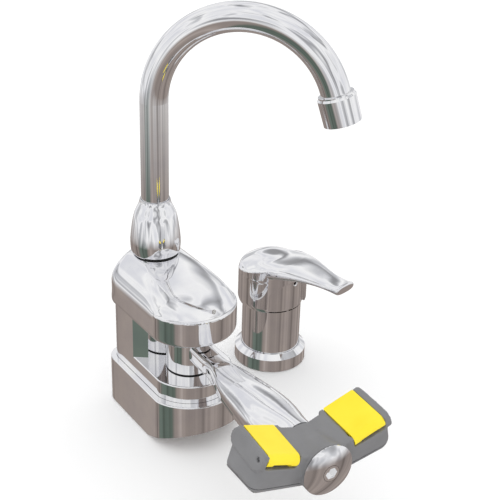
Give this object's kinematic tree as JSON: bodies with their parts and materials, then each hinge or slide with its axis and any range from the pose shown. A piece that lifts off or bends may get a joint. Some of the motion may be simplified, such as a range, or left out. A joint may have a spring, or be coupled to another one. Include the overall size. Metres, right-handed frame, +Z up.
{
  "type": "eyewash station",
  "caption": "Deck faucet with a gooseneck spout and a swing-out eyewash arm whose two spray outlets lie under flip-up dust covers, with a separate single-lever mixer",
  "frame": {"origin": "axis of the faucet's deck hole at the underside of its gasket, which is the top face of the deck", "axes": "+Z up from the deck, the front of the faucet with its eyewash arm is -Y, and the mixer stands at +X"},
  "size_m": [0.184, 0.2407, 0.3481],
  "materials": {
    "chrome_plate": "polished chrome plating over cast or drawn brass",
    "brass": "plain turned brass, not plated",
    "black_rubber": "matt black nitrile rubber",
    "steel": "plain stainless steel, turned",
    "black_steel": "black-oxide steel",
    "grey_plastic": "moulded mid-grey plastic, fine satin surface",
    "yellow_plastic": "moulded safety-yellow plastic",
    "white_plastic": "moulded natural acetal",
    "foam": "open-cell filter foam",
    "pipe_plastic": "extruded natural polyethylene",
    "ceramic": "ground white alumina ceramic"
  },
  "bodies": {
    "faucet_body": {"base_gasket": "black_rubber", "base_flange": "chrome_plate", "body_column": "chrome_plate", "hood_cover": "chrome_plate", "spout_socket": "brass", "spout_bush": "white_plastic", "collar_seal": "black_rubber", "collar_nut": "chrome_plate", "inlet_shank": "brass", "faucet_washer": "steel", "faucet_nut": "brass", "valve_fixed_disc": "ceramic", "valve_gland": "brass", "top_pivot": "steel", "mixer_gasket": "black_rubber", "mixer_ring": "chrome_plate", "mixer_body": "chrome_plate", "mixer_washer": "steel", "mixer_nut": "brass", "cartridge_case": "white_plastic", "cartridge_nut": "brass", "mixing_fixed_disc": "ceramic"},
    "spout": {"spout_tube": "chrome_plate", "spout_foot": "brass", "spout_seals": "black_rubber", "outlet_ring": "brass", "aerator_case": "chrome_plate", "aerator_insert": "white_plastic", "aerator_washer": "black_rubber"},
    "eyewash_arm": {"swing_hub": "chrome_plate", "hub_rings": "black_rubber", "valve_stem": "brass", "valve_turning_disc": "ceramic", "stem_seals": "black_rubber", "arm_casting": "chrome_plate", "arm_pipe": "pipe_plastic", "manifold": "brass", "head_top": "grey_plastic", "head_tray": "grey_plastic", "head_screws": "steel", "spray_cups": "white_plastic", "flow_screens": "foam", "hinge_pins": "steel", "end_disc": "chrome_plate", "disc_screw": "steel"},
    "cover_right": {"right_cover": "yellow_plastic"},
    "cover_left": {"left_cover": "yellow_plastic"},
    "mixer_rotor": {"turning_carrier": "white_plastic", "tilt_pin": "steel"},
    "mixer_valve_slide": {"mixing_slide": "ceramic"},
    "mixer_lever": {"mixer_handle": "chrome_plate", "lever_stem": "steel", "set_screw": "black_steel"}
  },
  "joints": [
    {"name": "spout_swivel", "type": "hinge", "parent": "faucet_body", "child": "spout", "pos_m": [0, 0, 0.15], "axis": [0, 0, 1], "range_deg": [-132.5, 47.5]},
    {"name": "arm_swing", "type": "hinge", "parent": "faucet_body", "child": "eyewash_arm", "pos_m": [0, -0.0455, 0.065], "axis": [0, 0, 1], "range_deg": [-87.5, 2.5]},
    {"name": "right_cover_hinge", "type": "hinge", "parent": "eyewash_arm", "child": "cover_right", "pos_m": [0.02246, -0.20526, 0.08479], "axis": [0.9474, -0.0414, 0.3173], "range_deg": [0, 110]},
    {"name": "left_cover_hinge", "type": "hinge", "parent": "eyewash_arm", "child": "cover_left", "pos_m": [-0.0363, -0.2027, 0.08479], "axis": [0.9474, -0.0414, -0.3173], "range_deg": [0, 110]},
    {"name": "mixer_turn", "type": "hinge", "parent": "faucet_body", "child": "mixer_rotor", "pos_m": [0.1016, 0, 0.0504], "axis": [0, 0, 1], "range_deg": [-58, 32]},
    {"name": "mixer_tilt", "type": "hinge", "parent": "mixer_rotor", "child": "mixer_lever", "pos_m": [0.1016, 0, 0.0504], "axis": [-0.9744, -0.225, 0], "range_deg": [0, 20]},
    {"name": "valve_slide", "type": "slide", "parent": "mixer_rotor", "child": "mixer_valve_slide", "axis": [0.225, -0.9744, 0], "range_m": [0, 0.0057]}
  ],
  "couplings": [
    {"joint": "valve_slide", "follows": "mixer_tilt", "m_per_rad": 0.01605}
  ]
}
